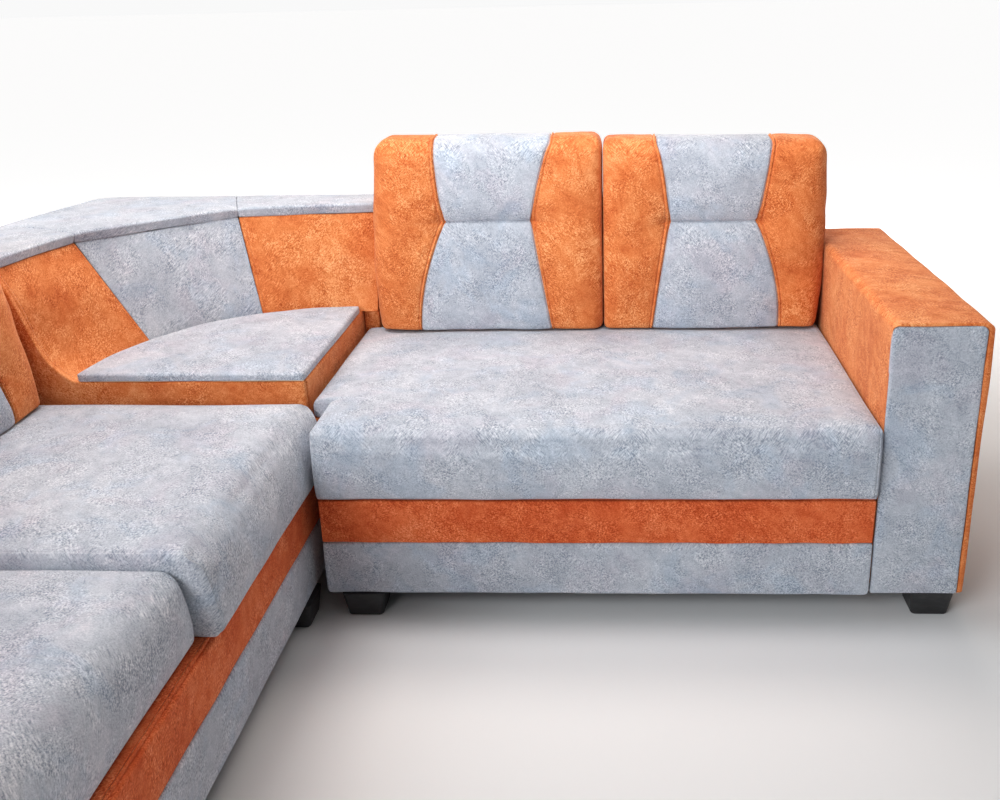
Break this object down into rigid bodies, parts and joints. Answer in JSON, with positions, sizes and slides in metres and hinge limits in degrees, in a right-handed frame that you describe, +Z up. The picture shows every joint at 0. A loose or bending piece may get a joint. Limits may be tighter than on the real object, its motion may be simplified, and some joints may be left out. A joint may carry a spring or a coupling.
{
  "type": "corner sofa",
  "caption": "L-shaped corner sofa in orange and pale grey suede-look fabric: bench seat, tall hourglass back cushions, block arm, corner shelf back and a lift-off quarter-round padded lid.",
  "frame": {"origin": "on the floor under the middle of the sofa's box", "axes": "+Z up; +X towards the right arm of the two-seater; +Y towards the back of the two-seater; the left wing runs towards -Y"},
  "size_m": [2.238, 2.164, 0.936],
  "materials": {
    "orange_suede": "burnt orange suede-look upholstery cloth, short nap, mottled",
    "grey_suede": "pale blue-grey suede-look upholstery cloth with a fine crackle and mauve mottling",
    "black_plastic": "moulded black plastic, fine grain",
    "timber": "sawn softwood and board",
    "plywood": "commercial plywood",
    "webbing": "woven elastic webbing",
    "dust_cloth": "black spun-bond lining cloth",
    "zinc_steel": "zinc-plated steel"
  },
  "bodies": {
    "sofa": {"bin_floor": "plywood", "bin_wall_back": "plywood", "bin_wall_left": "plywood", "connector_plates": "zinc_steel", "connector_screws": "zinc_steel", "corner_backrest_centre": "grey_suede", "corner_backrest_left": "orange_suede", "corner_backrest_right": "orange_suede", "corner_cap_centre": "grey_suede", "corner_cap_left": "grey_suede", "corner_cap_right": "grey_suede", "corner_deck": "plywood", "corner_frame": "timber", "corner_front_panel": "orange_suede", "corner_gables": "orange_suede", "corner_outer_back": "orange_suede", "corner_outer_left": "orange_suede", "corner_shelf_board": "plywood", "corner_side_panel": "orange_suede", "dust_covers": "dust_cloth", "feet": "black_plastic", "foot_screws": "zinc_steel", "left_arm_cover": "orange_suede", "left_arm_frame": "timber", "left_arm_front": "grey_suede", "left_back_cap": "grey_suede", "left_back_end": "orange_suede", "left_back_frame": "timber", "left_back_pad": "orange_suede", "left_base_band": "orange_suede", "left_base_frame": "timber", "left_end_cover": "orange_suede", "left_outer_back": "orange_suede", "left_plinth_band": "grey_suede", "left_seat_inner": "grey_suede", "left_seat_outer": "grey_suede", "left_webbing": "webbing", "right_arm_cover": "orange_suede", "right_arm_frame": "timber", "right_arm_front": "grey_suede", "right_back_cap": "grey_suede", "right_back_end": "orange_suede", "right_back_frame": "timber", "right_back_gable": "orange_suede", "right_back_pad": "orange_suede", "right_base_band": "orange_suede", "right_base_frame": "timber", "right_bench_seat": "grey_suede", "right_end_cover": "orange_suede", "right_end_filler": "orange_suede", "right_outer_back": "orange_suede", "right_plinth_band": "grey_suede", "right_webbing": "webbing"},
    "corner_lid": {"lid_board": "plywood", "lid_locating_blocks": "plywood", "lid_pad": "grey_suede"},
    "right_cushion_inner": {"right_cushion_inner": "orange_suede"},
    "right_cushion_outer": {"right_cushion_outer": "orange_suede"},
    "left_cushion_inner": {"left_cushion_inner": "orange_suede"},
    "left_cushion_outer": {"left_cushion_outer": "orange_suede"}
  },
  "joints": [
    {"name": "corner_lid_lift", "type": "slide", "parent": "sofa", "child": "corner_lid", "axis": [0, 0, 1], "range_m": [0, 0.3]},
    {"name": "right_cushion_inner_lift", "type": "slide", "parent": "sofa", "child": "right_cushion_inner", "axis": [0, 0.1033, 0.9947], "range_m": [0, 0.3]},
    {"name": "right_cushion_outer_lift", "type": "slide", "parent": "sofa", "child": "right_cushion_outer", "axis": [0, 0.1033, 0.9947], "range_m": [0, 0.3]},
    {"name": "left_cushion_inner_lift", "type": "slide", "parent": "sofa", "child": "left_cushion_inner", "axis": [-0.1033, 0, 0.9947], "range_m": [0, 0.3]},
    {"name": "left_cushion_outer_lift", "type": "slide", "parent": "sofa", "child": "left_cushion_outer", "axis": [-0.1033, 0, 0.9947], "range_m": [0, 0.3]}
  ]
}
